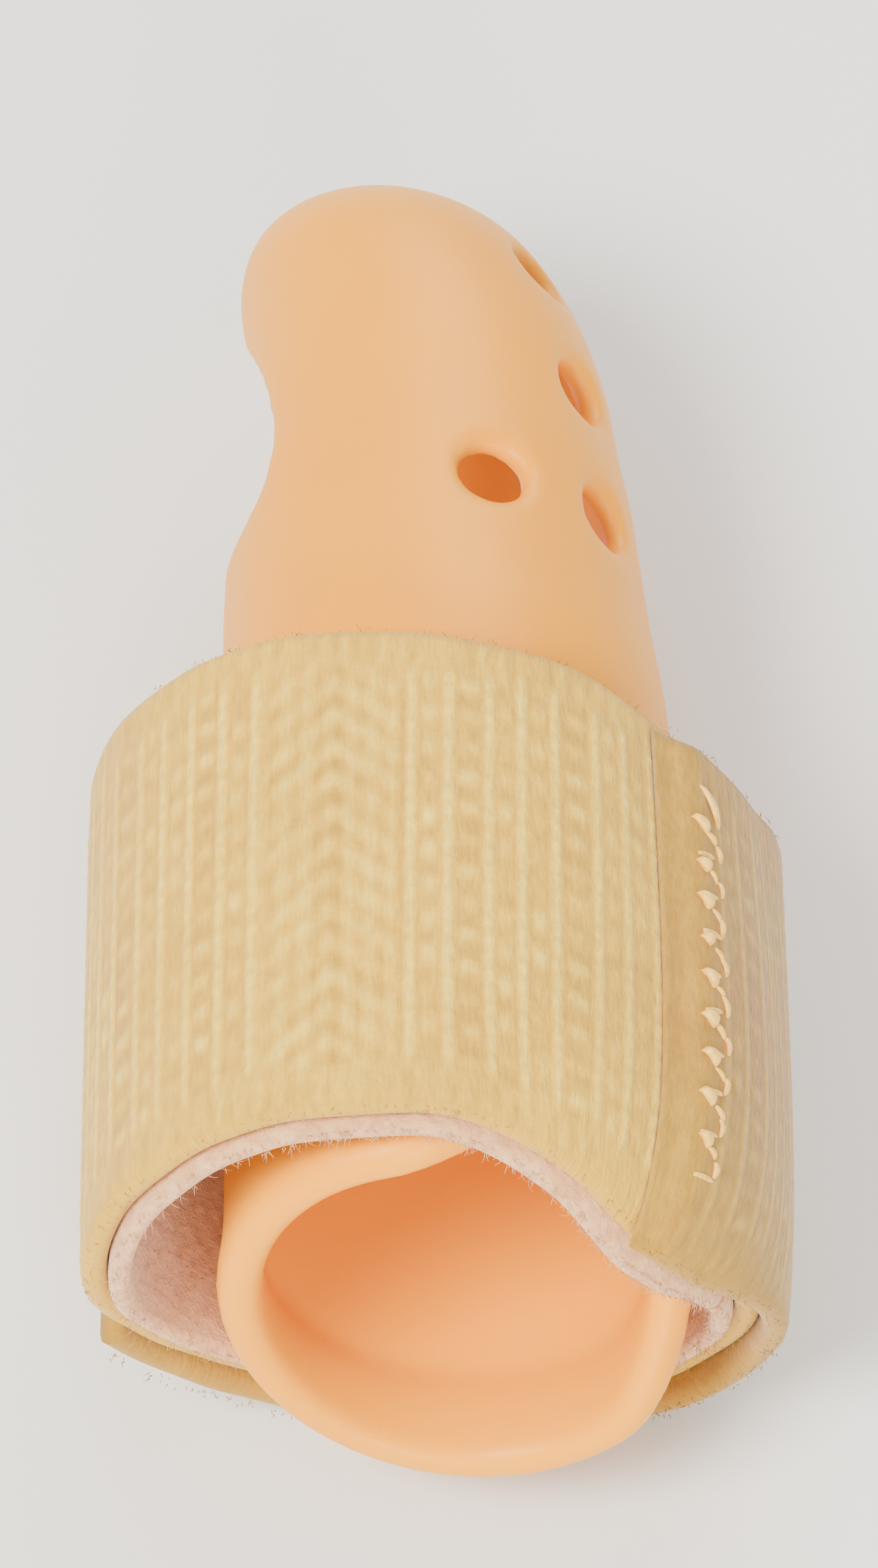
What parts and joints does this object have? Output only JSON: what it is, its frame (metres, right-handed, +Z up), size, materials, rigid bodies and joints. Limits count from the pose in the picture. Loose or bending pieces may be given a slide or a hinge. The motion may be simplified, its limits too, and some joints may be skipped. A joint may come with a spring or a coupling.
{
  "type": "finger splint",
  "caption": "Moulded tan finger splint with a round closed tip, a nail window and ventilation holes, in a lined woven strap that closes with a sewn hook tab.",
  "frame": {"origin": "middle of the base: the bounding box's bottom centre, on the surface the strap rests on", "axes": "+Y along the finger to the closed tip, +Z up, +X to the side where the two tapes are sewn together"},
  "size_m": [0.0322, 0.0646, 0.0283],
  "materials": {
    "splint_shell": "smooth moulded polyethylene with a soft sheen, tan",
    "strap_band": "woven sand-coloured tape with ribs along the finger and herringbone columns",
    "strap_lining": "soft brushed lining, pinkish beige",
    "hook_tab": "woven tape, a little darker than the band, with a light zigzag seam"
  },
  "bodies": {
    "root": {"splint_shell": "splint_shell", "strap_band": "strap_band", "strap_lining": "strap_lining", "hook_tab": "hook_tab"}
  },
  "joints": []
}
